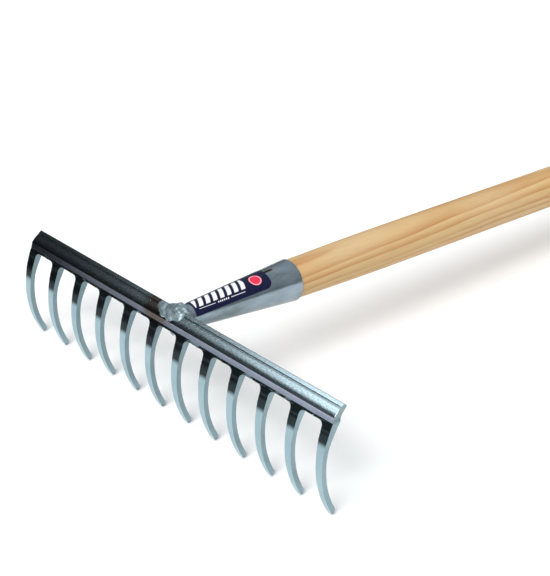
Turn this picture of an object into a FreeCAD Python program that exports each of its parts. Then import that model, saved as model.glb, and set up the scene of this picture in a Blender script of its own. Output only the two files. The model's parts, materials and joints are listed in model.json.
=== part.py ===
import FreeCAD, Part
import math
import os

# Level-head garden rake: a rolled steel head with twelve curved tines, a conical
# sheet-metal socket welded to the back of its bar, and a straight round wooden handle.
#
# Millimetres. X runs along the bar, +Y from the head to the butt of the handle, +Z up.
# The rake stands tines down, on its twelve tips and on the lower edge of the butt.
# Shapes are drawn with the tine tips near Y = 0, then moved so that the origin is the
# bottom centre of the whole rake.
#
# "Along" is a distance down the handle's axis, from where the axis crosses Y = 0.
# "Turn" is an angle round that axis in degrees, from the top towards +X.

os.makedirs("parts", exist_ok=True)
Vector = FreeCAD.Vector

# ---------------------------------------------------------------- driving dimensions
TINE_COUNT = 12
TINE_PITCH = 26.6
BAR_LENGTH = 300.0

TINE_ARC_RADIUS = 64.0          # front face of a tine, seen from the side
TINE_ARC_CENTRE = (55.8, 33.2)  # Y and Z
TINE_THICKNESS = 3.5
TINE_TIP_WIDTH = 4.2
TINE_TIP_ROUND = 1.5
TINE_WAIST_WIDTH = 5.5
TINE_WAIST_HEIGHT = 34.0
TINE_ROOT_WIDTH = 7.4
TINE_ROOT_HEIGHT = 54.5
TINE_ROOT_FLARE = 0.25          # share of the widening from waist to root, halfway up it
GAP_TOP_HEIGHT = 61.4
GAP_CORNER_RADIUS = 3.2
REAR_FLARE_HEIGHT = 45.0        # the back of the web starts to thicken

# The bar's section, Y and Z, goes from the top of the web's front over the bar to the back
# of its lip, and then down its back. A lone point ends a straight run, and three are an arc.
WEB_TOP_HEIGHT = 62.9
BAR_FRONT = [
    [(-0.05, 66.2)],
    [(-0.05, 66.2), (2.2, 68.6), (4.9, 70.55)],
    [(5.35, 70.6)],
    [(5.65, 71.3)],
    [(7.3, 72.35)],
    [(7.3, 72.35), (7.75, 72.5), (8.15, 72.3)],
    [(9.4, 71.05)],
    [(9.4, 71.05), (9.58, 70.68), (9.4, 70.3)],
]
BAR_BACK = [[(5.6, 66.0)], [(5.1, 64.9)], [(4.8, 62.2)]]
REAR_FLARE = (0.1, 54.4)        # halfway down the back of the web, where it thickens

HANDLE_RADIUS = 14.0
HANDLE_LENGTH = 1500.0
HANDLE_AXIS_HEIGHT = 65.7       # where the handle's axis crosses Y = 0
HANDLE_FOOT = 26.0              # along, inside the socket
HANDLE_FOOT_CHAMFER = 2.0
HANDLE_SHOULDER_LENGTH = 80.0   # beyond the mouth, up to full size
HANDLE_SHOULDER_FULLNESS = 0.75 # share of the growth to full size, halfway along the shoulder
BUTT_ROUND = 5.0

SOCKET_NOSE_RADIUS = 6.8        # outside, where the axis crosses Y = 0
SOCKET_MOUTH_RADIUS = 14.0      # outside
SOCKET_MOUTH = 97.0             # along
SOCKET_SHEET = 1.0
SOCKET_LIP_ROUND = 0.45
SOCKET_SEAM_WIDTH = 0.6         # the slit underneath, where the rolled edges meet

PIERCING_LENGTH = 7.6
PIERCING_WIDTH = 2.2
PIERCING_ALONG = 77.4           # its middle
PIERCING_TURN = 6.0
SPUR_LENGTH = 5.0
SPUR_WIDTH = 1.6
SPUR_DEPTH = 2.4                # below the inside of the socket, at its tip

LABEL_FOIL = 0.15
LABEL_START = 15.5              # along
LABEL_END = 74.5
LABEL_TURN = 17.0               # its middle
LABEL_NOSE_WIDTH = 13.4         # across, seen square on
LABEL_MOUTH_WIDTH = 17.0
LABEL_NOSE_ROUND = 1.0
LABEL_MOUTH_ROUND = 4.0

TOP_WELD_ALONG = 9.3
TOP_WELD_RADIUS = 3.0
TOP_WELD_TURNS = (-85.0, 85.0)
LIP_WELD_ENDS = (-17.0, 3.0)    # X, where metal ran along the bar's lip
LIP_WELD_CENTRE = (6.4, 71.2)   # Y and Z
LIP_WELD_RADIUS = 1.9
LOWER_WELD_ALONG = 2.5
LOWER_WELD_RADIUS = 2.3
LOWER_WELD_TURNS = (120.0, 185.0)

# ---------------------------------------------------------------- worked-out sizes
HALF_BAR = BAR_LENGTH / 2
TINE_REAR_RADIUS = TINE_ARC_RADIUS - TINE_THICKNESS
TINE_MIDDLE_RADIUS = TINE_ARC_RADIUS - TINE_THICKNESS / 2
HANDLE_REACH = HANDLE_FOOT + HANDLE_LENGTH
HANDLE_FALL = math.asin((HANDLE_AXIS_HEIGHT - HANDLE_RADIUS) / HANDLE_REACH)
SOCKET_GROWTH = (SOCKET_MOUTH_RADIUS - SOCKET_NOSE_RADIUS) / SOCKET_MOUTH
MOUTH_BORE_RADIUS = SOCKET_MOUTH_RADIUS - SOCKET_SHEET
SPUR_THICKNESS = SOCKET_SHEET / 2       # drawn thin where it was bent
BEYOND = 200.0                  # reaches past any section, for cutting blocks
OVERLAP = 1.0                   # how far a cut runs past what it cuts
TINY = 1e-3
MIDDLE_OF_ROUND = 1 - math.sqrt(0.5)    # share of a radius, at the middle of a quarter arc


# ---------------------------------------------------------------- drawing helpers
def on_tine_arc(radius, angle):
    """Y and Z on a circle about the tine arc's centre, angle in degrees above level."""
    turn = math.radians(angle)
    return (TINE_ARC_CENTRE[0] - radius * math.cos(turn),
            TINE_ARC_CENTRE[1] + radius * math.sin(turn))


def arc_angle(radius, height):
    """Angle at which a circle about the tine arc's centre reaches a height."""
    return math.degrees(math.asin((height - TINE_ARC_CENTRE[1]) / radius))


def tine_arc(radius, first, last):
    """Edge on a circle about the tine arc's centre between two angles, in the section's plane."""
    angles = (first, (first + last) / 2, last)
    return arc_edge(*[side_point(on_tine_arc(radius, angle)) for angle in angles])


def side_point(place):
    """A point of the head's section, which is drawn on the plane X = -HALF_BAR."""
    return Vector(-HALF_BAR, place[0], place[1])


def arc_edge(start, middle, end):
    return Part.Arc(start, middle, end).toShape()


def line_edges(points):
    return [Part.makeLine(a, b) for a, b in zip(points, points[1:])]


def prism(edges, direction):
    wire = Part.Wire(Part.__sortEdges__(edges))
    return Part.Face(wire).extrude(direction)


# ---------------------------------------------------------------- rake head
TIP_ANGLE = arc_angle(TINE_MIDDLE_RADIUS, TINE_THICKNESS / 2)
WEB_FRONT_TOP = on_tine_arc(TINE_ARC_RADIUS, arc_angle(TINE_ARC_RADIUS, WEB_TOP_HEIGHT))
REAR_TOP_ANGLE = arc_angle(TINE_REAR_RADIUS, REAR_FLARE_HEIGHT)
LIP_CORNER = BAR_FRONT[-1][-1]


def bar_edges(groups, start):
    """Edges through groups of section points, each group starting where the one before ended."""
    edges = []
    for group in groups:
        if len(group) == 1:
            edges += line_edges([side_point(start), side_point(group[0])])
        else:
            edges.append(arc_edge(*[side_point(place) for place in group]))
        start = group[-1]
    return edges


def rear_flare_edge():
    """The back of the web, where it thickens from a tine up to the bar."""
    return arc_edge(side_point(BAR_BACK[-1][-1]), side_point(REAR_FLARE),
                    side_point(on_tine_arc(TINE_REAR_RADIUS, REAR_TOP_ANGLE)))


def head_section_edges():
    """The head's whole section, with the round end of a tine."""
    tip_drop = math.degrees(TINE_THICKNESS / 2 / TINE_MIDDLE_RADIUS)
    tip = [on_tine_arc(TINE_REAR_RADIUS, TIP_ANGLE),
           on_tine_arc(TINE_MIDDLE_RADIUS, TIP_ANGLE - tip_drop),
           on_tine_arc(TINE_ARC_RADIUS, TIP_ANGLE)]
    edges = [tine_arc(TINE_ARC_RADIUS, TIP_ANGLE, arc_angle(TINE_ARC_RADIUS, WEB_TOP_HEIGHT))]
    edges += bar_edges(BAR_FRONT, WEB_FRONT_TOP)
    edges += bar_edges(BAR_BACK, LIP_CORNER)
    edges.append(rear_flare_edge())
    edges.append(tine_arc(TINE_REAR_RADIUS, REAR_TOP_ANGLE, TIP_ANGLE))
    edges.append(arc_edge(*[side_point(place) for place in tip]))
    return edges


def tine_centre(index):
    return (index - (TINE_COUNT - 1) / 2) * TINE_PITCH


def cutting_point(x, height):
    """A point of the outlines that are cut through the head from in front."""
    return Vector(x, -BEYOND / 2, height)


def tine_side(centre, side):
    """Edges up one side of a tine from under the middle of its tip, and the root they end at."""
    def at(half_width, height):
        return cutting_point(centre + side * half_width, height)

    tip = TINE_TIP_WIDTH / 2
    waist = TINE_WAIST_WIDTH / 2
    root = TINE_ROOT_WIDTH / 2
    round_end = TINE_TIP_ROUND * MIDDLE_OF_ROUND
    flare_height = (TINE_WAIST_HEIGHT + TINE_ROOT_HEIGHT) / 2
    flare = waist + (root - waist) * TINE_ROOT_FLARE
    flat_end = at(tip - TINE_TIP_ROUND, 0)
    tip_side = at(tip, TINE_TIP_ROUND)
    waist_side = at(waist, TINE_WAIST_HEIGHT)
    root_side = at(root, TINE_ROOT_HEIGHT)
    edges = line_edges([at(0, -BEYOND), at(0, 0), flat_end])
    edges.append(arc_edge(flat_end, at(tip - round_end, round_end), tip_side))
    edges += line_edges([tip_side, waist_side])
    edges.append(arc_edge(waist_side, at(flare, flare_height), root_side))
    return edges, root_side


def gap_corner(root, towards_gap):
    """Edges from a tine's root round the corner of a gap, and the start of the gap's top edge."""
    corner = cutting_point(root.x, GAP_TOP_HEIGHT - GAP_CORNER_RADIUS)
    inset = GAP_CORNER_RADIUS * MIDDLE_OF_ROUND
    middle = cutting_point(root.x + towards_gap * inset, GAP_TOP_HEIGHT - inset)
    end = cutting_point(root.x + towards_gap * GAP_CORNER_RADIUS, GAP_TOP_HEIGHT)
    return line_edges([root, corner]) + [arc_edge(corner, middle, end)], end


def gap_cutter(index):
    """The space between tine number index and the next."""
    left_edges, left_root = tine_side(tine_centre(index), 1)
    right_edges, right_root = tine_side(tine_centre(index + 1), -1)
    left_corner, left_top = gap_corner(left_root, 1)
    right_corner, right_top = gap_corner(right_root, -1)
    edges = left_edges + left_corner + line_edges([left_top, right_top]) + right_corner + right_edges
    edges += line_edges([cutting_point(tine_centre(index), -BEYOND),
                         cutting_point(tine_centre(index + 1), -BEYOND)])
    return prism(edges, Vector(0, BEYOND, 0))


def end_cutter(side):
    """Narrows the outer side of an end tine, whose root is flush with the end of the bar."""
    centre = side * tine_centre(TINE_COUNT - 1)
    edges, root = tine_side(centre, side)
    outside = side * BEYOND
    edges += line_edges([root, cutting_point(outside, TINE_ROOT_HEIGHT), cutting_point(outside, -BEYOND),
                         cutting_point(centre, -BEYOND)])
    return prism(edges, Vector(0, BEYOND, 0))


def rake_head():
    """The rolled section with the gaps between the tines punched out."""
    head = prism(head_section_edges(), Vector(BAR_LENGTH, 0, 0))
    cutters = [gap_cutter(index) for index in range(TINE_COUNT - 1)]
    cutters += [end_cutter(side) for side in (-1, 1)]
    return head.cut(cutters)


# ---------------------------------------------------------------- along the handle
AXIS = Vector(0, math.cos(HANDLE_FALL), -math.sin(HANDLE_FALL))
AXIS_START = Vector(0, 0, HANDLE_AXIS_HEIGHT)
AXIS_UP = Vector(0, math.sin(HANDLE_FALL), math.cos(HANDLE_FALL))


def axis_point(along):
    return AXIS_START + AXIS * along


def outward(turn):
    """Unit vector square to the axis at a turn."""
    angle = math.radians(turn)
    return AXIS_UP * math.cos(angle) + Vector(1, 0, 0) * math.sin(angle)


def profile_point(along, radius):
    return axis_point(along) + AXIS_UP * radius


def socket_radius(along):
    """Outside radius of the socket."""
    return SOCKET_NOSE_RADIUS + SOCKET_GROWTH * along


def turned(edges):
    """A solid of revolution about the handle's axis from a closed profile."""
    return Part.Face(Part.Wire(edges)).revolve(AXIS_START, AXIS, 360)


def cone(start, end, inset=0.0):
    """The socket's outer cone between two places, inset by a thickness."""
    return turned(line_edges([
        profile_point(start, 0), profile_point(start, socket_radius(start) - inset),
        profile_point(end, socket_radius(end) - inset), profile_point(end, 0), profile_point(start, 0)]))


def ahead_of_bar_back():
    """Everything in front of the back of the bar, for trimming the socket that is welded to it."""
    rear_end = on_tine_arc(TINE_REAR_RADIUS, REAR_TOP_ANGLE)
    outside = [(rear_end[0], -BEYOND), (-BEYOND, -BEYOND), (-BEYOND, BEYOND), (LIP_CORNER[0], BEYOND)]
    edges = line_edges([side_point(place) for place in [rear_end, *outside, LIP_CORNER]])
    edges += bar_edges(BAR_BACK, LIP_CORNER)
    edges.append(rear_flare_edge())
    return prism(edges, Vector(BAR_LENGTH, 0, 0))


def piercing_cutter():
    """The slot punched in the socket, with round ends."""
    up = outward(PIERCING_TURN)
    middle = axis_point(PIERCING_ALONG)
    half = AXIS * (PIERCING_LENGTH - PIERCING_WIDTH) / 2
    side = AXIS.cross(up) * PIERCING_WIDTH / 2
    cap = AXIS * PIERCING_WIDTH / 2
    edges = line_edges([middle - half + side, middle + half + side])
    edges.append(arc_edge(middle + half + side, middle + half + cap, middle + half - side))
    edges += line_edges([middle + half - side, middle - half - side])
    edges.append(arc_edge(middle - half - side, middle - half - cap, middle - half + side))
    return prism(edges, up * BEYOND)


def spur():
    """The tongue left by the piercing, bent down into the wood, where it holds the handle."""
    up = outward(PIERCING_TURN)
    across = AXIS.cross(up)
    hinge_along = PIERCING_ALONG - PIERCING_LENGTH / 2 - OVERLAP
    inside = socket_radius(hinge_along) - SOCKET_SHEET
    hinge = axis_point(hinge_along) + up * (inside + SPUR_THICKNESS / 2) - across * SPUR_WIDTH / 2
    tip = hinge + AXIS * SPUR_LENGTH - up * SPUR_DEPTH
    rise = up * SPUR_THICKNESS
    outline = [hinge, tip, tip + rise, hinge + rise, hinge]
    return prism(line_edges(outline), across * SPUR_WIDTH)


def socket(tongue):
    """The ferrule: a cone rolled from sheet, trimmed to the back of the bar it is welded to."""
    shell = cone(0, SOCKET_MOUTH).cut(cone(-OVERLAP, SOCKET_MOUTH + OVERLAP, SOCKET_SHEET))
    mouth = axis_point(SOCKET_MOUTH)
    lip = [edge for edge in shell.Edges if edge.CenterOfMass.isEqual(mouth, TINY)]
    shell = shell.makeFillet(SOCKET_LIP_ROUND, lip)
    seam = Part.makeBox(SOCKET_SEAM_WIDTH, BEYOND, HANDLE_AXIS_HEIGHT - SOCKET_NOSE_RADIUS / 2,
                        Vector(-SOCKET_SEAM_WIDTH / 2, 0, 0))
    return shell.cut([ahead_of_bar_back(), seam, piercing_cutter()]).fuse(tongue).removeSplitter()


def handle(tongue):
    """The wood: a tapered foot in the socket, a shoulder up to full size and a rounded butt."""
    chamfer_end = HANDLE_FOOT + HANDLE_FOOT_CHAMFER
    foot_radius = socket_radius(HANDLE_FOOT) - SOCKET_SHEET - HANDLE_FOOT_CHAMFER / 2
    mouth = profile_point(SOCKET_MOUTH, MOUTH_BORE_RADIUS)
    shoulder_radius = MOUTH_BORE_RADIUS + (HANDLE_RADIUS - MOUTH_BORE_RADIUS) * HANDLE_SHOULDER_FULLNESS
    shoulder_middle = profile_point(SOCKET_MOUTH + HANDLE_SHOULDER_LENGTH / 2, shoulder_radius)
    shoulder_end = profile_point(SOCKET_MOUTH + HANDLE_SHOULDER_LENGTH, HANDLE_RADIUS)
    round_start = profile_point(HANDLE_REACH - BUTT_ROUND, HANDLE_RADIUS)
    round_inset = BUTT_ROUND * MIDDLE_OF_ROUND
    round_middle = profile_point(HANDLE_REACH - round_inset, HANDLE_RADIUS - round_inset)
    round_end = profile_point(HANDLE_REACH, HANDLE_RADIUS - BUTT_ROUND)
    start = profile_point(HANDLE_FOOT, 0)
    edges = line_edges([start, profile_point(HANDLE_FOOT, foot_radius),
                        profile_point(chamfer_end, socket_radius(chamfer_end) - SOCKET_SHEET), mouth])
    edges.append(arc_edge(mouth, shoulder_middle, shoulder_end))
    edges += line_edges([shoulder_end, round_start])
    edges.append(arc_edge(round_start, round_middle, round_end))
    edges += line_edges([round_end, profile_point(HANDLE_REACH, 0), start])
    return turned(edges).cut(tongue)


def ring_weld(bead_radius, along, turns):
    """A bead of weld metal round the socket's nose, between two turns."""
    first, last = turns
    start = axis_point(along) + outward(first) * socket_radius(along)
    circle = Part.Circle(start, AXIS.cross(outward(first)), bead_radius)
    section = Part.Face(Part.Wire(circle.toShape()))
    return section.revolve(axis_point(along), AXIS, last - first)


def lip_weld():
    """Metal that ran from the top weld along the bar's lip, with round ends."""
    ends = [Vector(x, *LIP_WELD_CENTRE) for x in LIP_WELD_ENDS]
    run = Part.makeCylinder(LIP_WELD_RADIUS, ends[1].x - ends[0].x, ends[0], Vector(1, 0, 0))
    return run.fuse([Part.makeSphere(LIP_WELD_RADIUS, end) for end in ends])


def label():
    """Printed foil on the socket, a strip with its mouth end well rounded."""
    skin = cone(LABEL_START - OVERLAP, LABEL_END + OVERLAP, -LABEL_FOIL)
    skin = skin.cut(cone(LABEL_START - 2 * OVERLAP, LABEL_END + 2 * OVERLAP))
    up = outward(LABEL_TURN)
    across = AXIS.cross(up)

    def corner(along, half_width):
        return axis_point(along) + across * half_width

    corners = [corner(LABEL_START, -LABEL_NOSE_WIDTH / 2), corner(LABEL_END, -LABEL_MOUTH_WIDTH / 2),
               corner(LABEL_END, LABEL_MOUTH_WIDTH / 2), corner(LABEL_START, LABEL_NOSE_WIDTH / 2)]
    height = 2 * SOCKET_MOUTH_RADIUS
    block = Part.Face(Part.makePolygon(corners + corners[:1])).extrude(up * height)
    for along, radius in ((LABEL_START, LABEL_NOSE_ROUND), (LABEL_END, LABEL_MOUTH_ROUND)):
        ends = [edge for edge in block.Edges if abs(edge.Length - height) < TINY
                and abs((edge.CenterOfMass - AXIS_START).dot(AXIS) - along) < TINY]
        block = block.makeFillet(radius, ends)
    return skin.common(block)


# ---------------------------------------------------------------- assembly
def build():
    head = rake_head()
    tongue = spur()
    ferrule = socket(tongue)
    top_weld = ring_weld(TOP_WELD_RADIUS, TOP_WELD_ALONG, TOP_WELD_TURNS).fuse(lip_weld())
    lower_weld = ring_weld(LOWER_WELD_RADIUS, LOWER_WELD_ALONG, LOWER_WELD_TURNS)
    return {
        "rake_head": head,
        "socket": ferrule,
        "weld_top": top_weld.cut([head, ferrule]),
        "weld_bottom": lower_weld.cut([head, ferrule]),
        "handle": handle(tongue),
        "label": label(),
    }


nodes = build()
whole = Part.makeCompound(list(nodes.values())).optimalBoundingBox(False)
shift = Vector(-whole.Center.x, -whole.Center.y, -whole.ZMin)
for name, shape in nodes.items():
    shape.translate(shift)
    shape.exportStep("parts/" + name + ".step")
    print(name, shape.isValid(), len(shape.Solids), "solid, cm3:", round(shape.Volume / 1000, 2))
print("moved by", shift, "overall", whole.XLength, whole.YLength, whole.ZLength)
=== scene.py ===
import json
import math
import random

import bmesh
import bpy
from mathutils import Euler, Matrix, Vector, noise


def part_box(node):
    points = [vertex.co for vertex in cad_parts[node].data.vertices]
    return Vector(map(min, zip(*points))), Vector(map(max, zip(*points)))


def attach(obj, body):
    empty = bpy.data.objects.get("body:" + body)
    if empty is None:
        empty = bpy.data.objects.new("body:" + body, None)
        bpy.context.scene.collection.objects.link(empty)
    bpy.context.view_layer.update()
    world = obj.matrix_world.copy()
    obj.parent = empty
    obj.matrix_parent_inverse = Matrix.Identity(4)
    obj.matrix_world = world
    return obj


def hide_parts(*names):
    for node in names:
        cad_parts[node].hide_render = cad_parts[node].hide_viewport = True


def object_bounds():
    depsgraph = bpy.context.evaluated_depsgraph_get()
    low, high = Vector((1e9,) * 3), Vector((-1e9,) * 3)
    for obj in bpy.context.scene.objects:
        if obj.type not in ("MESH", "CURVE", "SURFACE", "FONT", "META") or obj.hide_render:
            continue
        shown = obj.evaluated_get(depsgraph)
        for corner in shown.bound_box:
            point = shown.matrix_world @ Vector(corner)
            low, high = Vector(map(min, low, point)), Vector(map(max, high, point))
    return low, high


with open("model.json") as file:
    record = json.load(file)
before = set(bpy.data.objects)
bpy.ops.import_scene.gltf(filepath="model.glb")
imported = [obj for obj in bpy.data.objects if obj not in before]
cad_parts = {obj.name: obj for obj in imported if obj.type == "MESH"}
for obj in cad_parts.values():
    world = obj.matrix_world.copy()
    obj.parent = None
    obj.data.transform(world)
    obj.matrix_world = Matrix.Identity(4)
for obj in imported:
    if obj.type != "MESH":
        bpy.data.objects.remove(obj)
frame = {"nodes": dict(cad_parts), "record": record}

# Level-head garden rake. Metres, in the row frame: X along the bar, +Y to the butt of the
# handle, +Z up, standing on the tips of its tines and on the butt.

MM = 0.001
cad_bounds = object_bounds()
scene = bpy.context.scene

# ---------------------------------------------------------------- sizes from the frame
HANDLE_MOUNT = frame["record"]["mounts"][0]
AXIS = Vector(HANDLE_MOUNT["axis"]).normalized()
HEAD_LOW, HEAD_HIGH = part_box("rake_head")
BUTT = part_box("handle")[1].y

# ---------------------------------------------------------------- driving dimensions
# Millimetres, unless a comment says otherwise or a value is multiplied by MM.
TINE_COUNT = 12
TINE_PITCH = 26.6
TINE_ARC_RADIUS = 64.0
TINE_ARC_CENTRE = (55.8, 33.2)               # Y and Z
TINE_THICKNESS = 3.5
TINE_TIP_WIDTH = 4.2
TINE_TIP_ROUND = 1.5
TINE_WAIST_WIDTH = 5.5
TINE_WAIST_HEIGHT = 34.0
TINE_ROOT_WIDTH = 7.4
TINE_ROOT_HEIGHT = 54.5
GAP_TOP_HEIGHT = 61.4
GAP_CORNER_RADIUS = 3.2
REAR_FLARE = 2.1
REAR_FLARE_HEIGHT = 45.0
# The bar's section, Y and Z, from the top of the web in front to its top behind. A lone point
# ends a straight run, and three points are a curve.
BAR_SECTION = [
    [(-0.89, 62.9)],
    [(-0.05, 66.2)],
    [(-0.05, 66.2), (2.2, 68.6), (4.9, 70.55)],
    [(5.35, 70.6)],
    [(5.65, 71.3)],
    [(7.3, 72.35)],
    [(7.3, 72.35), (7.75, 72.5), (8.15, 72.3)],
    [(9.4, 71.05)],
    [(9.4, 71.05), (9.58, 70.68), (9.4, 70.3)],
    [(5.6, 66.0)],
    [(5.1, 64.9)],
    [(4.8, 62.2)]]
CURVE_STEPS = 8
CORNER_HOLD = 0.06                           # share of a straight run that its corners shade
# Weld metal lies along this line up the bar's upper face, from near its nose to its groove.
FACE_LOW = Vector((0, 1.4, 67.6))
FACE_HIGH = Vector((0, 4.9, 70.6))
HEAD_EDGE_ROUND = 0.2 * MM
HEAD_EDGE_STEPS = 3
HEAD_EDGE_LEAST = 50                         # degrees; edges that turn less stay as they are
REAR_FLARE_POWER = 1.3                       # above 1, the back of the web thickens mostly near the bar
TINE_LEAN = 1.0                              # most that a tip stands off its place
LEAN_CHANGE = 7.3                            # step through the noise from one tine's lean to the next
BURR = 1.0                                   # most that the shearing left on a gap's top edge
BURR_CHANGE = 0.9                            # step through the noise for a millimetre of that edge
FAN_RISE = 0.7                               # rows of the mesh arch by this over a tine
TIP_STEPS = 4
TINE_STEPS = 22
FILLET_STEPS = 6
GAP_TOP_STEPS = 8
TINE_COLUMNS = 6
# Heights over which the head's finish and its painted shade change.
BAR_FINISH = (64 * MM, 67 * MM)
BAR_END_FINISH = (61 * MM, 64 * MM)
PAINTED_ROOT_SHADE = (44.5 * MM, 48.5 * MM)
PAINTED_ROOT_SHADE_EASE = (56 * MM, 59 * MM)
PAINTED_ROOT_SHADE_END = (62.4 * MM, 63.2 * MM)
ROOT_SHADE_RISE = 0.02                       # climb of the painted root shade's lower end along the bar
PAINTED_STRIPE_SHADE = (63 * MM, 66.2 * MM)
BAR_SHADE = (62.8 * MM, 63.2 * MM)
BAR_SPATTER = (-35 * MM, 75 * MM)            # X of the ends of the fine spatter

SOCKET_SHEET = 1.0
SOCKET_MOUTH = 97.0
SOCKET_NOSE_RADIUS = 6.8
SOCKET_MOUTH_RADIUS = 14.0
HANDLE_RADIUS = 13.95                        # a hair inside the CAD handle
HANDLE_FOOT = 26.0
HANDLE_TAPER_RADIUS = 12.75                  # at the end of its taper, inside the socket
HANDLE_TAPER_INSET = 6.0                     # of that end from the socket's mouth
HANDLE_SHOULDER = 80.0
HANDLE_SHOULDER_INSET = 2.0                  # of its start from the socket's mouth
HANDLE_WAVER = 0.12                          # most that hand sanding took off
WAVER_CHANGE = 0.012                         # step through the noise for a millimetre of the handle
BUTT_ROUND = 5.0
BUTT_INSET = 0.55                            # of its middle from its furthest edge, as the handle slopes
HANDLE_SIDES = 96
HANDLE_RINGS = 60
ROUND_STEPS = 8                              # along the shoulder, and round the butt

DROP_SUBDIVISIONS = 3
WELD_SEED = 4
WELD_VOXEL = 0.35 * MM
WELD_SETTLE = 34
# Beads round the socket's nose: along, first and last turn, radius of the drops and their number.
TOP_BEAD = (9.3, (-84, 84), 3.1, 12)
SECOND_PASS = (6.2, (-62, 50), 3.0, 6)
LOWER_BEAD = (2.5, (122, 183), 2.2, 7)
# How far its drops stray along and outwards, and the shares of their radius that they keep.
RING_STRAY_ALONG = (-0.5, 0.5)
RING_STRAY_OUT = (-0.4, 0.2)
RING_SHARES = (0.85, 1.0)
# Drops run over the bar beside the socket: X, share of the way up its upper face, and radius.
LIP_RUN = [(-14.5, 1.1, 3.2), (-11, 0.9, 4.4), (-8, 0.5, 4.2), (-5, 1.1, 5.2),
           (-2, 0.5, 4.6), (1, 1.0, 5.0), (4, 0.8, 4.0)]
LIP_SHARES = (0.97, 1.03)
LIP_THICKNESS = 0.36                         # of its drops, as a share of their radius
LIP_SUNK = 0.3                               # of their middles below the bar's face
SPATTER_COUNT = 46
SPATTER_RADII = (0.15, 0.38)
SPATTER_REACH = (-32, 75, 8)                 # X of its ends and of where it is densest

# The label's print, in millimetres along the handle's axis and degrees round it.
BARS_ALONG = (17, 57)
BARS_TURN = (-13, 35)
BAR_SPACING = 5.4
BAR_SLANT = 0.07                             # millimetres along for a degree
RULES_ALONG = ((19, 31), (43, 54))
RULES_TURN = (44, 46)
DASHES_ALONG = (32.5, 41.5)
DASHES_TURN = (42, 48)
DASH_SPACING = 1.5
SPOT_ALONG = 65
SPOT_TURN = 19
SPOT_DEGREE = 0.205                          # millimetres round the socket for a degree, at the spot
SPOT_RADIUS = 3.3
SPOT_RIM = 4.1
SPOT_EDGE = 0.3
SCUFF_TURNS = (-14, -28)                     # the upper edge is worn from the first to the second

RELIEF = 0.1 * MM                            # depth of the materials' bumps
RING_SPACING = 5.4 * MM                      # of the wood's growth rings
PITH_TURN = 15                               # degrees round the handle from its top to the pith
PITH_DISTANCE = 60 * MM                      # from the axis at the bar
PITH_SLOPE = 0.036                           # growth of that distance along the handle
PAINTED_SLOT_SHADE_INSETS = (4, 2)                       # from the socket's mouth, where the painted shade in the slot ends
PAINTED_SLOT_SHADE_SIDE = (1.3 * MM, 1.7 * MM)           # and in X

# The stage, in metres.
CAMERA_PLACE = Vector((0.7839, -1.3380, 0.5902))
CAMERA_TURNS = (49.718, 27.265, -0.553)      # yaw, pitch down and roll, degrees
CAMERA_LENS = 113.0
FLOOR_SIZE = 40.0
CARD_HEIGHT = 1 * MM
CARD_CORNERS = [(-4, -4), (-2, -4), (-0.9, -2), (-0.47, -1.15), (-0.36, -0.95), (-0.36, -0.6), (-4, -0.6)]
# Directions of the sky's lights and of its darker parts.
KEY_LIGHT = (0.27, -0.69, 0.67)
SIDE_LIGHT = (-0.55, -0.42, 0.72)
LOW_LEFT = (-0.69, -0.72, 0)
FAR_LEFT = (-1, 0, 0)
AHEAD = (0, 1, 0)

# ---------------------------------------------------------------- worked-out sizes
HALF_BAR = HEAD_HIGH.x / MM
HEAD_LINE = HEAD_LOW.y + (TINE_ARC_RADIUS - TINE_ARC_CENTRE[0]) * MM
SOCKET_GROWTH = (SOCKET_MOUTH_RADIUS - SOCKET_NOSE_RADIUS) / SOCKET_MOUTH
ACROSS = Vector((1, 0, 0))
AXIS_UP = ACROSS.cross(AXIS)
MOUNT_PLACE = Vector(HANDLE_MOUNT["pos_m"])
AXIS_START = MOUNT_PLACE - AXIS * ((MOUNT_PLACE.y - HEAD_LINE) / AXIS.y)
HANDLE_END = (BUTT - AXIS_START.y) / AXIS.y / MM - BUTT_INSET
UPPER_FACE_OUT = ACROSS.cross(FACE_HIGH - FACE_LOW).normalized()
BURN_PLACE = (-14 * MM, HEAD_LINE + 5 * MM, 71 * MM)


# ---------------------------------------------------------------- shader helpers
def new_material(name):
    made = bpy.data.materials.new(name)
    made.use_nodes = True
    tree = made.node_tree
    return made, tree, tree.nodes["Principled BSDF"]


def node(tree, kind, sockets=(), **settings):
    """A shader node. A socket in sockets is linked, and any other value is set on the input."""
    made = tree.nodes.new(kind)
    for name, value in settings.items():
        setattr(made, name, value)
    for name, value in dict(sockets).items():
        if isinstance(value, bpy.types.NodeSocket):
            tree.links.new(value, made.inputs[name])
        else:
            made.inputs[name].default_value = value
    return made


def math_node(tree, operation, *values):
    return node(tree, "ShaderNodeMath", dict(enumerate(values)), operation=operation).outputs[0]


def product(tree, first, *others):
    for other in others:
        first = math_node(tree, "MULTIPLY", first, other)
    return first


def separate(tree, vector):
    """The outputs X, Y and Z of a vector."""
    return node(tree, "ShaderNodeSeparateXYZ", {"Vector": vector}).outputs


def ramp(tree, value, *stops):
    """A colour ramp; stops are (place, colour)."""
    made = node(tree, "ShaderNodeValToRGB", {"Fac": value})
    elements = made.color_ramp.elements
    while len(elements) < len(stops):
        elements.new(0.5)
    for element, (place, colour) in zip(elements, stops):
        element.position = place
        element.color = (*colour, 1)
    return made.outputs["Color"]


def smooth(tree, value, start, end, low=0.0, high=1.0):
    """low before start, high after end and a smooth change between them."""
    ends = {"Value": value, "From Min": start, "From Max": end, "To Min": low, "To Max": high}
    return node(tree, "ShaderNodeMapRange", ends, interpolation_type="SMOOTHSTEP").outputs["Result"]


def mix(tree, share, first, second, blend="MIX"):
    """Two colours mixed by a share. The node takes the share as input 0 and the colours as 6 and 7."""
    made = node(tree, "ShaderNodeMix", data_type="RGBA", blend_type=blend)
    for number, value in ((0, share), (6, first), (7, second)):
        if isinstance(value, bpy.types.NodeSocket):
            tree.links.new(value, made.inputs[number])
        else:
            made.inputs[number].default_value = value if number == 0 else (*value, 1)
    return made.outputs[2]


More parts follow.
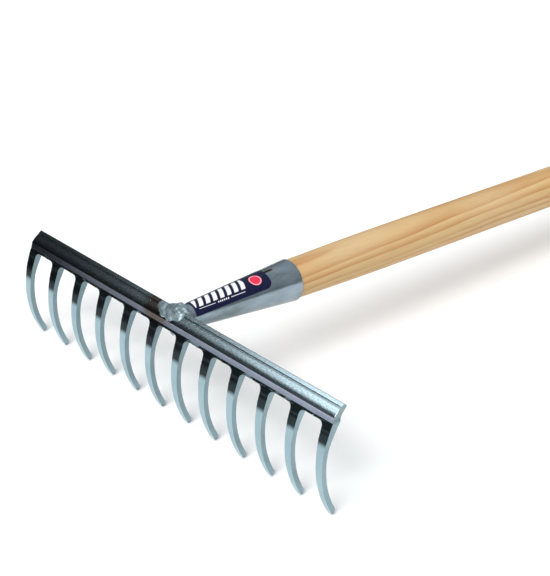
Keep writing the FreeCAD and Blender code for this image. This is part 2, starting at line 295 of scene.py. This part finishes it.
def noise_at(tree, place, scale, detail=3.0, **more):
    sockets = {"Vector": place, "Scale": scale, "Detail": detail, **more}
    return node(tree, "ShaderNodeTexNoise", sockets).outputs["Fac"]


def row_place(tree):
    """The point in the row frame, which is every piece's own frame."""
    return node(tree, "ShaderNodeTexCoord").outputs["Object"]


def stretched(tree, place, scale):
    return node(tree, "ShaderNodeMapping", {"Vector": place, "Scale": scale}).outputs["Vector"]


def handle_place(tree):
    """The point with Y along the handle's axis from the bar, and Z square to it on top."""
    fall = math.atan2(-AXIS.z, AXIS.y)
    turned_start = Matrix.Rotation(fall, 3, "X") @ AXIS_START
    sockets = {"Vector": row_place(tree), "Rotation": (fall, 0, 0), "Location": -turned_start}
    return node(tree, "ShaderNodeMapping", sockets).outputs["Vector"]


def band(tree, value, start, end, edge):
    """1 between start and end, with soft edges."""
    rising = smooth(tree, value, start - edge, start + edge)
    return product(tree, rising, smooth(tree, value, end - edge, end + edge, 1.0, 0.0))


def surface(tree, shader, colour, rough, relief=None, strength=0.0):
    """Links a surface's colour, its roughness and its fine relief, if it has any."""
    tree.links.new(colour, shader.inputs["Base Color"])
    tree.links.new(rough, shader.inputs["Roughness"])
    if relief is not None:
        bump = node(tree, "ShaderNodeBump", {"Height": relief, "Strength": strength, "Distance": RELIEF})
        tree.links.new(bump.outputs["Normal"], shader.inputs["Normal"])


# ---------------------------------------------------------------- materials
def head_zinc():
    """Bright zinc over rolled steel: even on the tines, mottled on the bar and burnt by the weld. Painted
    shade stands in for dark reflections on the front and towards the bar's left end.
    """
    made, tree, shader = new_material("zinc_head_painted_shade")
    place = row_place(tree)
    along = separate(tree, place)["X"]
    height = separate(tree, place)["Z"]
    facing = separate(tree, node(tree, "ShaderNodeNewGeometry").outputs["Normal"])
    sheared = smooth(tree, math_node(tree, "ABSOLUTE", facing["X"]), 0.6, 0.85)
    in_front = smooth(tree, facing["Y"], -0.8, -0.3, 1.0, 0.0)
    on_bar = smooth(tree, height, *BAR_FINISH)
    mottle = noise_at(tree, stretched(tree, place, (0.45, 1, 1)), 1300, 5.0)
    # Painted shade: darkens the bar's colour towards its left end, for a darker reflection there; it also
    # roughens the zinc.
    dullness_and_painted_shade = smooth(tree, along, -0.6 * HALF_BAR * MM, HALF_BAR * MM, 0.4, 0.0)

    colour = rolled_zinc(tree, place, mottle, dullness_and_painted_shade, on_bar)
    colour = cut_faces(tree, colour, sheared, height)
    # Painted shade on the fronts and to the left, standing in for dark reflections.
    colour = painted_front_shade(tree, colour, along, height, in_front)
    colour = weld_marks(tree, colour, place, along, on_bar)
    rough = math_node(tree, "MULTIPLY_ADD", mottle, 0.12, 0.03)
    rough = math_node(tree, "MULTIPLY_ADD", dullness_and_painted_shade, 0.25, rough)
    rough = math_node(tree, "MULTIPLY_ADD", sheared, 0.18, rough)
    surface(tree, shader, colour, rough, product(tree, mottle, on_bar), 0.3)
    shader.inputs["Metallic"].default_value = 1.0
    return made


def rolled_zinc(tree, place, mottle, dullness_and_painted_shade, on_bar):
    """The plating's colour: cloudy on the tines and mottled on the bar, with painted shade that darkens the
    bar to the left.
    """
    clouds = noise_at(tree, place, 70, 3.0)
    even = ramp(tree, clouds, (0.3, (0.30, 0.43, 0.48)), (0.7, (0.36, 0.50, 0.55)))
    patchy = ramp(tree, mottle, (0.35, (0.44, 0.57, 0.63)), (0.65, (0.60, 0.78, 0.86)))
    # Painted shade: the bar's colour darkens towards its left end.
    patchy = mix(tree, dullness_and_painted_shade, patchy, (0.09, 0.10, 0.10))
    return mix(tree, on_bar, even, patchy)


def cut_faces(tree, colour, sheared, height):
    """Greyer on the sheared faces, most of all at the ends of the bar."""
    bar_end = product(tree, sheared, smooth(tree, height, *BAR_END_FINISH))
    colour = mix(tree, sheared, colour, (0.80, 0.77, 0.76), "MULTIPLY")
    return mix(tree, bar_end, colour, (0.62, 0.64, 0.60), "MULTIPLY")


def painted_front_shade(tree, colour, along, height, in_front):
    """Painted shade for dark reflections: on the fronts of the web and the tines' roots, a darker tint on
    the stripe above them and towards the left end of the bar.
    """
    lifted = math_node(tree, "MULTIPLY_ADD", along, -ROOT_SHADE_RISE, height)
    # Painted shade on the forward faces of the web and the tines' roots.
    roots = product(tree, in_front, smooth(tree, lifted, *PAINTED_ROOT_SHADE),
                    smooth(tree, height, *PAINTED_ROOT_SHADE_EASE, 1.0, 0.75),
                    smooth(tree, height, *PAINTED_ROOT_SHADE_END, 1.0, 0.0))
    colour = mix(tree, roots, colour, (0.08, 0.08, 0.08), "MULTIPLY")
    # Painted reflection: a darker, purplish tint on the stripe's front.
    stripe = product(tree, in_front, band(tree, height, *PAINTED_STRIPE_SHADE, 0.2 * MM))
    colour = mix(tree, stripe, colour, (0.74, 0.60, 0.68), "MULTIPLY")
    # Painted shade on the bar's top, darkest at its left end.
    left = product(tree, smooth(tree, height, *BAR_SHADE),
                   smooth(tree, along, -HALF_BAR * MM, HALF_BAR * MM, 0.7, 0.0))
    return mix(tree, left, colour, (0.05, 0.05, 0.05), "MULTIPLY")


def weld_marks(tree, colour, place, along, on_bar):
    """Fine bright spatter on the bar, and the brown of the heat round the weld."""
    spattered = band(tree, along, *BAR_SPATTER, 35 * MM)
    spattered = math_node(tree, "MULTIPLY_ADD", spattered, 0.8, 0.2)
    grit = smooth(tree, noise_at(tree, place, 1400, 2.0), 0.62, 0.68)
    colour = mix(tree, product(tree, grit, spattered, on_bar), colour, (0.72, 0.84, 0.88))
    away = node(tree, "ShaderNodeVectorMath", {0: place, 1: BURN_PLACE}, operation="DISTANCE")
    fray = noise_at(tree, place, 260, 3.0)
    ragged = math_node(tree, "MULTIPLY_ADD", fray, -10 * MM, away.outputs["Value"])
    return mix(tree, smooth(tree, ragged, 4 * MM, 14 * MM, 0.85, 0.0), colour, (0.10, 0.075, 0.06))


def socket_zinc():
    """Dull zinc on drawn sheet, cloudy and rubbed along the cone."""
    made, tree, shader = new_material("zinc_socket_finish")
    place = handle_place(tree)
    clouds = noise_at(tree, stretched(tree, place, (1, 0.4, 1)), 90, 4.0)
    rubs = noise_at(tree, stretched(tree, place, (1, 0.06, 1)), 1500, 3.0)
    colour = ramp(tree, clouds, (0.35, (0.17, 0.22, 0.23)), (0.62, (0.30, 0.37, 0.43)))
    colour = mix(tree, smooth(tree, rubs, 0.5, 0.8, 0.0, 0.4), colour, (0.40, 0.47, 0.53))
    surface(tree, shader, colour, math_node(tree, "MULTIPLY_ADD", rubs, 0.16, 0.12), rubs, 0.15)
    shader.inputs["Metallic"].default_value = 1.0
    return made


def weld_metal():
    """Plated weld metal with patches of dark scale."""
    made, tree, shader = new_material("weld_finish")
    scale = noise_at(tree, row_place(tree), 420, 4.0)
    colour = ramp(tree, scale, (0.35, (0.18, 0.22, 0.23)), (0.50, (0.33, 0.42, 0.46)),
                  (0.70, (0.48, 0.60, 0.64)))
    surface(tree, shader, colour, smooth(tree, scale, 0.3, 0.7, 0.62, 0.42))
    shader.inputs["Metallic"].default_value = 1.0
    return made


def pine():
    """Straight-grained pine: growth rings, a blush of colour, fine fibres and painted shade where it shows
    through the socket's slot.
    """
    made, tree, shader = new_material("pine_wood")
    place = handle_place(tree)
    colour = mix(tree, late_wood(tree, place), (0.63, 0.43, 0.205), (0.42, 0.175, 0.04))
    blush = noise_at(tree, stretched(tree, place, (1, 0.2, 1)), 60, 3.0)
    colour = mix(tree, smooth(tree, blush, 0.38, 0.7, 0.0, 0.40), colour, (0.55, 0.30, 0.125))
    pale = noise_at(tree, stretched(tree, place, (1, 0.3, 1)), 17, 1.0)
    colour = mix(tree, smooth(tree, pale, 0.52, 0.68, 0.0, 0.45), colour, (0.66, 0.52, 0.32))
    fibres = noise_at(tree, stretched(tree, place, (1, 0.03, 1)), 2200, 4.0)
    colour = mix(tree, smooth(tree, fibres, 0.35, 0.75, 0.0, 0.34), colour, (0.40, 0.245, 0.11))
    # Painted shade on the wood under the socket's slot.
    colour = mix(tree, painted_slot_shade(tree, place), colour, (0.012, 0.009, 0.006))
    surface(tree, shader, colour, smooth(tree, fibres, 0.3, 0.7, 0.42, 0.60), fibres, 0.2)
    shader.inputs["Specular IOR Level"].default_value = 0.3
    return made


def late_wood(tree, place):
    """0 in the early wood of a year's ring, rising to 1 in its late wood."""
    wander = node(tree, "ShaderNodeTexNoise",
                  {"Vector": stretched(tree, place, (1, 0.25, 1)), "Scale": 15.0, "Detail": 3.0})
    drift = node(tree, "ShaderNodeVectorMath",
                 {0: wander.outputs["Color"], 1: (12 * MM, 0, 12 * MM), 2: place}, operation="MULTIPLY_ADD")
    across = tree_axis_distance(tree, drift.outputs["Vector"])
    seasons = noise_at(tree, node(tree, "ShaderNodeCombineXYZ", {"X": across}).outputs["Vector"], 130, 1.0)
    across = math_node(tree, "MULTIPLY_ADD", seasons, 1.2 * RING_SPACING, across)
    ring = math_node(tree, "FRACT", math_node(tree, "DIVIDE", across, RING_SPACING))
    late = ramp(tree, ring, (0.0, (0, 0, 0)), (0.30, (0.05, 0.05, 0.05)), (0.80, (0.75, 0.75, 0.75)),
                (0.93, (1, 1, 1)), (1.0, (0, 0, 0)))
    faint = noise_at(tree, stretched(tree, place, (1, 0.10, 1)), 75, 2.0)
    return product(tree, late, smooth(tree, faint, 0.30, 0.60, 0.35, 1.0))


def tree_axis_distance(tree, place):
    """Distance from the pith of the tree, a line beside the handle that leaves it towards the butt."""
    parts = separate(tree, place)
    away = math_node(tree, "MULTIPLY_ADD", parts["Y"], PITH_SLOPE, PITH_DISTANCE)
    turn = math.radians(PITH_TURN)
    aside = math_node(tree, "MULTIPLY_ADD", away, -math.sin(turn), parts["X"])
    up = math_node(tree, "MULTIPLY_ADD", away, -math.cos(turn), parts["Z"])
    flat = node(tree, "ShaderNodeCombineXYZ", {"X": aside, "Z": up}).outputs["Vector"]
    return node(tree, "ShaderNodeVectorMath", {0: flat}, operation="LENGTH").outputs["Value"]


def painted_slot_shade(tree, place):
    """Painted shade on the wood inside the socket, on the side that shows through its slot."""
    parts = separate(tree, place)
    start, end = ((SOCKET_MOUTH - inset) * MM for inset in PAINTED_SLOT_SHADE_INSETS)
    covered = smooth(tree, parts["Y"], start, end, 0.9, 0.0)
    return product(tree, covered, smooth(tree, parts["X"], *PAINTED_SLOT_SHADE_SIDE, 1.0, 0.0))


def foil():
    """The label's print: slanting bars, two thin rules, a row of dashes and a round spot, all generic."""
    made, tree, shader = new_material("label_print")
    parts = separate(tree, handle_place(tree))
    along = math_node(tree, "DIVIDE", parts["Y"], MM)
    turn = math_node(tree, "DEGREES", math_node(tree, "ARCTAN2", parts["X"], parts["Z"]))
    spot = spot_distance(tree, along, turn)
    wear = noise_at(tree, row_place(tree), 900, 4.0)
    colour = ramp(tree, wear, (0.3, (0.004, 0.005, 0.026)), (0.75, (0.008, 0.011, 0.042)))
    colour = mix(tree, white_print(tree, along, turn), colour, (0.78, 0.79, 0.82))
    rim = smooth(tree, spot, SPOT_RIM, SPOT_RIM + SPOT_EDGE, 1.0, 0.0)
    middle = smooth(tree, spot, SPOT_RADIUS, SPOT_RADIUS + SPOT_EDGE, 1.0, 0.0)
    colour = mix(tree, rim, colour, (0.90, 0.36, 0.40))
    colour = mix(tree, middle, colour, (0.70, 0.03, 0.08))
    scuffed = product(tree, smooth(tree, turn, *SCUFF_TURNS), smooth(tree, wear, 0.45, 0.6))
    colour = mix(tree, scuffed, colour, (0.45, 0.47, 0.50))
    surface(tree, shader, colour, smooth(tree, wear, 0.3, 0.7, 0.25, 0.45))
    shader.inputs["Specular IOR Level"].default_value = 0.15
    return made


def white_print(tree, along, turn):
    """1 on the bars, the rules and the dashes."""
    slant = math_node(tree, "MULTIPLY_ADD", turn, BAR_SLANT, along)
    beat = math_node(tree, "FRACT", math_node(tree, "DIVIDE", slant, BAR_SPACING))
    bars = product(tree, band(tree, beat, 0.10, 0.68, 0.05), band(tree, turn, *BARS_TURN, 1.0),
                   band(tree, along, *BARS_ALONG, 0.2))
    rules = math_node(tree, "ADD", *[band(tree, along, *ends, 0.2) for ends in RULES_ALONG])
    rules = product(tree, rules, band(tree, turn, *RULES_TURN, 0.8))
    beat = math_node(tree, "FRACT", math_node(tree, "DIVIDE", slant, DASH_SPACING))
    dashes = product(tree, band(tree, beat, 0.15, 0.7, 0.1), band(tree, turn, *DASHES_TURN, 0.8),
                     band(tree, along, *DASHES_ALONG, 0.2))
    return math_node(tree, "MAXIMUM", bars, math_node(tree, "MAXIMUM", rules, dashes))


def spot_distance(tree, along, turn):
    """Millimetres from the middle of the round spot."""
    aside = product(tree, math_node(tree, "SUBTRACT", turn, SPOT_TURN), SPOT_DEGREE)
    sockets = {"X": math_node(tree, "SUBTRACT", along, SPOT_ALONG), "Y": aside}
    offset = node(tree, "ShaderNodeCombineXYZ", sockets).outputs["Vector"]
    return node(tree, "ShaderNodeVectorMath", {0: offset}, operation="LENGTH").outputs["Value"]


def plain(name, colour, roughness):
    """A material for the stage."""
    made, _, shader = new_material(name)
    shader.inputs["Base Color"].default_value = (*colour, 1)
    shader.inputs["Roughness"].default_value = roughness
    return made


# ---------------------------------------------------------------- pieces
def add_piece(name, mesh, material, slot, *nodes):
    piece = bpy.data.objects.new(name, mesh)
    scene.collection.objects.link(piece)
    mesh.materials.clear()
    mesh.materials.append(material)
    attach(piece, "root")
    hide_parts(*nodes)
    return piece


def finished_mesh(name, shape, recalculate=False):
    """A smooth-shaded mesh from a bmesh, with its faces turned outwards if they may not be."""
    if recalculate:
        bmesh.ops.recalc_face_normals(shape, faces=shape.faces)
    mesh = bpy.data.meshes.new(name)
    shape.to_mesh(mesh)
    shape.free()
    mesh.shade_smooth()
    return mesh


def tine_outline():
    """(half width, height) up the side of a tine, from its tip to the middle of a gap's top edge."""
    tip = TINE_TIP_WIDTH / 2
    waist = TINE_WAIST_WIDTH / 2
    root = TINE_ROOT_WIDTH / 2
    points = []
    for step in range(TIP_STEPS):
        turn = math.pi / 2 * step / TIP_STEPS
        points.append((tip - TINE_TIP_ROUND * (1 - math.sin(turn)), TINE_TIP_ROUND * (1 - math.cos(turn))))
    for step in range(TINE_STEPS):
        height = TINE_TIP_ROUND + (TINE_ROOT_HEIGHT - TINE_TIP_ROUND) * step / TINE_STEPS
        below = min(1, (height - TINE_TIP_ROUND) / (TINE_WAIST_HEIGHT - TINE_TIP_ROUND))
        above = max(0, (height - TINE_WAIST_HEIGHT) / (TINE_ROOT_HEIGHT - TINE_WAIST_HEIGHT))
        points.append((tip + (waist - tip) * below + (root - waist) * above ** 2, height))
    for step in range(FILLET_STEPS + 1):
        turn = math.pi / 2 * step / FILLET_STEPS
        points.append((root + GAP_CORNER_RADIUS * (1 - math.cos(turn)),
                       GAP_TOP_HEIGHT - GAP_CORNER_RADIUS * (1 - math.sin(turn))))
    corner = points[-1][0]
    for step in range(1, GAP_TOP_STEPS + 1):
        points.append((corner + (TINE_PITCH / 2 - corner) * step / GAP_TOP_STEPS, GAP_TOP_HEIGHT))
    return points


def arc_y(radius, height):
    """Y on a circle about the tine arc's centre, at a height."""
    return TINE_ARC_CENTRE[0] - math.sqrt(radius ** 2 - (height - TINE_ARC_CENTRE[1]) ** 2)


def bar_points():
    """Points once over the bar's section, with steps along each curve."""
    points = list(BAR_SECTION[0])
    for group in BAR_SECTION[1:]:
        if len(group) == 1:
            start, end = Vector(points[-1]), Vector(group[0])
            points += [tuple(start.lerp(end, share)) for share in (CORNER_HOLD, 1 - CORNER_HOLD, 1)]
            continue
        start, middle, end = (Vector(place) for place in group)
        pull = 2 * middle - (start + end) / 2
        for step in range(1, CURVE_STEPS + 1):
            share = step / CURVE_STEPS
            bend = 2 * share * (1 - share) * pull
            points.append(tuple((1 - share) ** 2 * start + bend + share ** 2 * end))
    return points


def rear_y(height):
    """Y of the back of a tine or of the web, which thickens towards the bar."""
    share = max(0, (height - REAR_FLARE_HEIGHT) / (BAR_SECTION[-1][-1][1] - REAR_FLARE_HEIGHT))
    return arc_y(TINE_ARC_RADIUS - TINE_THICKNESS, height) + REAR_FLARE * share ** REAR_FLARE_POWER


def tine_tip():
    """(Y, Z) round the end of a tine from its back to its front."""
    middle = TINE_ARC_RADIUS - TINE_THICKNESS / 2
    dip = math.asin((TINE_ARC_CENTRE[1] - TINE_THICKNESS / 2) / middle)
    centre = (TINE_ARC_CENTRE[0] - middle * math.cos(dip), TINE_ARC_CENTRE[1] - middle * math.sin(dip))
    points = []
    for step in range(TIP_STEPS + 1):
        turn = math.pi * step / TIP_STEPS - dip
        points.append((centre[0] + TINE_THICKNESS / 2 * math.cos(turn),
                       centre[1] - TINE_THICKNESS / 2 * math.sin(turn)))
    return points


def tine_centre(tine):
    return (tine - (TINE_COUNT - 1) / 2) * TINE_PITCH


def on_head(x, y, z):
    """A point of the head, given in millimetres, in the row frame."""
    return Vector((x * MM, HEAD_LINE + y * MM, z * MM))


def head_column(tine, share, outline):
    """Points once round the head's section, at a share of a tine's half width from its middle."""
    centre = tine_centre(tine)
    cut_end = tine in (0, TINE_COUNT - 1) and share * centre > 0
    tip = tine_tip()
    lean = noise.noise((tine * LEAN_CHANGE, 0.5, 0.5)) * TINE_LEAN
    fan_start = len(outline) - GAP_TOP_STEPS - FILLET_STEPS - 1

    def place(half_width, y, z):
        if cut_end:
            half_width = min(half_width, TINE_ROOT_WIDTH / 2)
        hang = max(0, 1 - z / GAP_TOP_HEIGHT) ** 2
        return on_head(centre + share * half_width + lean * hang, y, z)

    def height(level, lowest):
        rise = max(0, level - fan_start) / (len(outline) - 1 - fan_start)
        rise *= 1 if cut_end else 1 - share ** 2
        return lowest + (GAP_TOP_HEIGHT - lowest) * outline[level][1] / GAP_TOP_HEIGHT + FAN_RISE * rise

    points = [place(outline[0][0], y, z) for y, z in tip[1:-1]]
    for level, (half_width, _) in enumerate(outline):
        z = height(level, tip[-1][1])
        burr = 0
        if abs(share) == 1 and not cut_end and level > fan_start + FILLET_STEPS:
            edge = (centre + share * half_width) * BURR_CHANGE
            burr = max(0, noise.noise((edge, 3.0, 7.0))) * BURR * (2 - share) / 3
        points.append(place(half_width, arc_y(TINE_ARC_RADIUS, z), z - burr))
    half_width = outline[-1][0]
    points += [place(half_width, y, z) for y, z in bar_points()]
    for level in reversed(range(len(outline))):
        z = height(level, tip[0][1])
        points.append(place(outline[level][0], rear_y(z), z))
    return points


def head_mesh():
    outline = tine_outline()
    shape = bmesh.new()
    for tine in range(TINE_COUNT):
        columns = []
        for step in range(TINE_COLUMNS + 1):
            share = 2 * step / TINE_COLUMNS - 1
            columns.append([shape.verts.new(point) for point in head_column(tine, share, outline)])
        count = len(columns[0])
        for left, right in zip(columns, columns[1:]):
            for here in range(count):
                after = (here + 1) % count
                shape.faces.new((left[here], right[here], right[after], left[after]))
        for side, column in ((-1, columns[0]), (1, columns[-1])):
            close_tine_side(shape, column, len(outline), side * tine_centre(tine) > HALF_BAR - TINE_PITCH)
    bmesh.ops.remove_doubles(shape, verts=shape.verts, dist=0.01 * MM)
    return finished_mesh("rake_head", shape, recalculate=True)


def close_tine_side(shape, column, levels, bar_end):
    """The cut face down one side of a tine, and the end of the bar above it."""
    first = TIP_STEPS - 1
    shape.faces.new([column[-1]] + column[:first + 1])
    for level in range(levels - 1):
        front = first + level
        rear = len(column) - 1 - level
        shape.faces.new((column[front], column[front + 1], column[rear - 1], column[rear]))
    if bar_end:
        shape.faces.new(column[first + levels - 1:len(column) - levels + 1])


def head():
    piece = add_piece("rake_head_rounded", head_mesh(), head_zinc(), "zinc_head", "rake_head")
    bevel = piece.modifiers.new("edges", "BEVEL")
    bevel.width = HEAD_EDGE_ROUND
    bevel.segments = HEAD_EDGE_STEPS
    bevel.limit_method = "ANGLE"
    bevel.angle_limit = math.radians(HEAD_EDGE_LEAST)
    bevel.use_clamp_overlap = False
    bevel.harden_normals = True


def on_axis(along, turn=0.0, radius=0.0):
    """A point by the handle's axis: millimetres along and out, degrees from the top towards +X."""
    angle = math.radians(turn)
    return AXIS_START + MM * (AXIS * along + radius * (AXIS_UP * math.cos(angle) + ACROSS * math.sin(angle)))


def handle_profile():
    """(along, radius) from the foot inside the socket to the middle of the butt."""
    profile = [(HANDLE_FOOT, 0), (HANDLE_FOOT, SOCKET_NOSE_RADIUS),
               (SOCKET_MOUTH - HANDLE_TAPER_INSET, HANDLE_TAPER_RADIUS)]
    shoulder = SOCKET_MOUTH - HANDLE_SHOULDER_INSET
    for step in range(ROUND_STEPS + 1):
        share = step / ROUND_STEPS
        radius = HANDLE_RADIUS - SOCKET_SHEET * (1 - math.sin(math.pi / 2 * share))
        profile.append((shoulder + share * HANDLE_SHOULDER, radius))
    first = profile[-1][0]
    straight = HANDLE_END - BUTT_ROUND
    for step in range(1, HANDLE_RINGS):
        profile.append((first + (straight - first) * step / HANDLE_RINGS, HANDLE_RADIUS))
    for step in range(ROUND_STEPS + 1):
        turn = math.pi / 2 * step / ROUND_STEPS
        inset = BUTT_ROUND * (1 - math.cos(turn))
        profile.append((straight + BUTT_ROUND * math.sin(turn), HANDLE_RADIUS - inset))
    profile.append((HANDLE_END, 0))
    return profile


def handle_ring(shape, along, radius):
    """Vertices round the handle, which sanding left a little uneven, or the one in the middle of an end."""
    if radius == 0:
        return [shape.verts.new(on_axis(along))]
    ring = []
    for step in range(HANDLE_SIDES):
        turn = 360 * step / HANDLE_SIDES
        angle = math.radians(turn)
        waver = abs(noise.noise((along * WAVER_CHANGE, math.cos(angle), math.sin(angle))))
        ring.append(shape.verts.new(on_axis(along, turn, radius - HANDLE_WAVER * waver)))
    return ring


def handle_mesh():
    shape = bmesh.new()
    rings = [handle_ring(shape, along, radius) for along, radius in handle_profile()]
    for here, after in zip(rings, rings[1:]):
        for step in range(HANDLE_SIDES):
            following = (step + 1) % HANDLE_SIDES
            corners = [here[step % len(here)], here[following % len(here)],
                       after[following % len(after)], after[step % len(after)]]
            shape.faces.new(list(dict.fromkeys(corners)))
    return finished_mesh("handle", shape, recalculate=True)


def drop_mesh(name, drops):
    """Lumps of weld metal from drops: place in metres, radius in millimetres and thickness as its share."""
    shape = bmesh.new()
    for place, radius, thickness in drops:
        flattened = Matrix.Scale(thickness, 4, UPPER_FACE_OUT)
        bmesh.ops.create_icosphere(shape, subdivisions=DROP_SUBDIVISIONS, radius=radius * MM,
                                   matrix=Matrix.Translation(place) @ flattened)
    return finished_mesh(name, shape)


def bead(name, drops, material, node_name):
    """Drops run together into one smooth bead."""
    piece = add_piece(name, drop_mesh(name, drops), material, "weld_metal", node_name)
    remesh = piece.modifiers.new("one_lump", "REMESH")
    remesh.mode = "VOXEL"
    remesh.voxel_size = WELD_VOXEL
    remesh.use_smooth_shade = True
    settle = piece.modifiers.new("settle", "SMOOTH")
    settle.iterations = WELD_SETTLE


def ring_drops(chance, along, turns, size, count):
    """Drops of a bead laid round the nose of the socket."""
    drops = []
    for step in range(count):
        turn = turns[0] + (turns[1] - turns[0]) * step / (count - 1)
        radius = SOCKET_NOSE_RADIUS + SOCKET_GROWTH * along
        stray = chance.uniform(*RING_STRAY_ALONG)
        place = on_axis(along + stray, turn, radius + chance.uniform(*RING_STRAY_OUT))
        drops.append((place, size * chance.uniform(*RING_SHARES), 1.0))
    return drops


def on_upper_face(x, share, sunk=0.0):
    """A point at a share of the way over the bar's upper face, or sunk below it."""
    place = FACE_LOW.lerp(FACE_HIGH, share) - UPPER_FACE_OUT * sunk
    return on_head(x, place.y, place.z)


def lip_drops(chance):
    """Metal that ran flat over the bar's lip and upper face, to the left of the socket."""
    return [(on_upper_face(x, share, LIP_SUNK), size * chance.uniform(*LIP_SHARES), LIP_THICKNESS)
            for x, share, size in LIP_RUN]


def spatter_drops(chance):
    """Beads thrown on to the bar's upper face."""
    drops = []
    for _ in range(SPATTER_COUNT):
        size = chance.uniform(*SPATTER_RADII)
        place = on_upper_face(chance.triangular(*SPATTER_REACH), chance.uniform(0, 1), size / 2)
        drops.append((place, size, 1.0))
    return drops


def welds():
    """The beads above and below the nose of the socket, and the spatter on the bar."""
    material = weld_metal()
    chance = random.Random(WELD_SEED)
    drops = ring_drops(chance, *TOP_BEAD) + ring_drops(chance, *SECOND_PASS) + lip_drops(chance)
    bead("weld_top_bead", drops, material, "weld_top")
    bead("weld_lower_bead", ring_drops(chance, *LOWER_BEAD), material, "weld_bottom")
    add_piece("weld_spatter", drop_mesh("weld_spatter", spatter_drops(chance)), material, "weld_metal")


def coat(name, material):
    """Gives a CAD node a better material."""
    node_object = frame["nodes"][name]
    for slot in node_object.material_slots:
        slot.link = "OBJECT"
        slot.material = material


# ---------------------------------------------------------------- stage
def add_sheet(name, corners, height, material):
    """A flat sheet of the stage."""
    mesh = bpy.data.meshes.new(name)
    mesh.from_pydata([(x, y, height) for x, y in corners], [], [tuple(range(len(corners)))])
    mesh.materials.append(material)
    sheet = bpy.data.objects.new(name, mesh)
    scene.collection.objects.link(sheet)
    return sheet


def add_floor():
    half = FLOOR_SIZE / 2
    corners = [(-half, -half), (half, -half), (half, half), (-half, half)]
    ground = add_sheet("floor", corners, cad_bounds[0].z, plain("floor", (0.955, 0.955, 0.95), 0.9))


def add_dark_card():
    """A dark card on the floor, out of the picture to the left, which only the zinc reflects."""
    card = add_sheet("dark_card", CARD_CORNERS, CARD_HEIGHT, plain("dark_card", (0.01, 0.01, 0.01), 0.5))
    card.visible_camera = False
    card.visible_shadow = False
    card.visible_diffuse = False


def add_world():
    """A soft sky with a key light, a side light and two dark parts. The camera sees it plain and pale."""
    world = bpy.data.worlds.new("studio")
    world.use_nodes = True
    scene.world = world
    tree = world.node_tree
    direction = node(tree, "ShaderNodeTexCoord").outputs["Generated"]
    height = separate(tree, direction)["Z"]

    def towards(target, start, end, low=0.0, high=1.0):
        sockets = {0: direction, 1: Vector(target).normalized()}
        closeness = node(tree, "ShaderNodeVectorMath", sockets, operation="DOT_PRODUCT").outputs["Value"]
        return smooth(tree, closeness, start, end, low, high)

    sky = ramp(tree, height, (0.0, (0.19, 0.20, 0.20)), (0.45, (0.36, 0.37, 0.38)),
               (1.0, (0.56, 0.58, 0.60)))
    glow = math_node(tree, "ADD", towards(KEY_LIGHT, 0.915, 0.988, 0.0, 9.0),
                     towards(SIDE_LIGHT, 0.90, 0.985, 0.0, 0.65))
    colour = node(tree, "ShaderNodeVectorMath", {0: sky, 1: glow}, operation="ADD").outputs["Vector"]
    low_left = product(tree, smooth(tree, height, 0.53, 0.66, 1.0, 0.0), towards(LOW_LEFT, 0.0, 0.5))
    colour = mix(tree, low_left, colour, (0.075, 0.080, 0.082))
    far_left = product(tree, towards(FAR_LEFT, 0.62, 0.74), towards(AHEAD, 0.0, 0.35, 1.0, 0.0))
    colour = mix(tree, far_left, colour, (0.012, 0.013, 0.015))
    seen = node(tree, "ShaderNodeLightPath").outputs["Is Camera Ray"]
    colour = mix(tree, seen, colour, (0.75, 0.755, 0.76))
    background = tree.nodes["Background"]
    tree.links.new(colour, background.inputs["Color"])
    background.inputs["Strength"].default_value = 1.36


def add_camera():
    data = bpy.data.cameras.new("camera")
    data.lens = CAMERA_LENS
    camera = bpy.data.objects.new("camera", data)
    scene.collection.objects.link(camera)
    yaw, pitch, roll = (math.radians(turn) for turn in CAMERA_TURNS)
    aim = Euler((math.pi / 2 - pitch, 0, yaw)).to_matrix() @ Matrix.Rotation(roll, 3, "Z")
    camera.matrix_world = Matrix.Translation(CAMERA_PLACE) @ aim.to_4x4()
    scene.camera = camera


# ---------------------------------------------------------------- the whole scene
head()
welds()
add_piece("handle_shaft", handle_mesh(), pine(), "pine", "handle")
coat("socket", socket_zinc())
coat("label", foil())
add_dark_card()
add_floor()
add_world()
add_camera()
scene.view_settings.view_transform = "Standard"
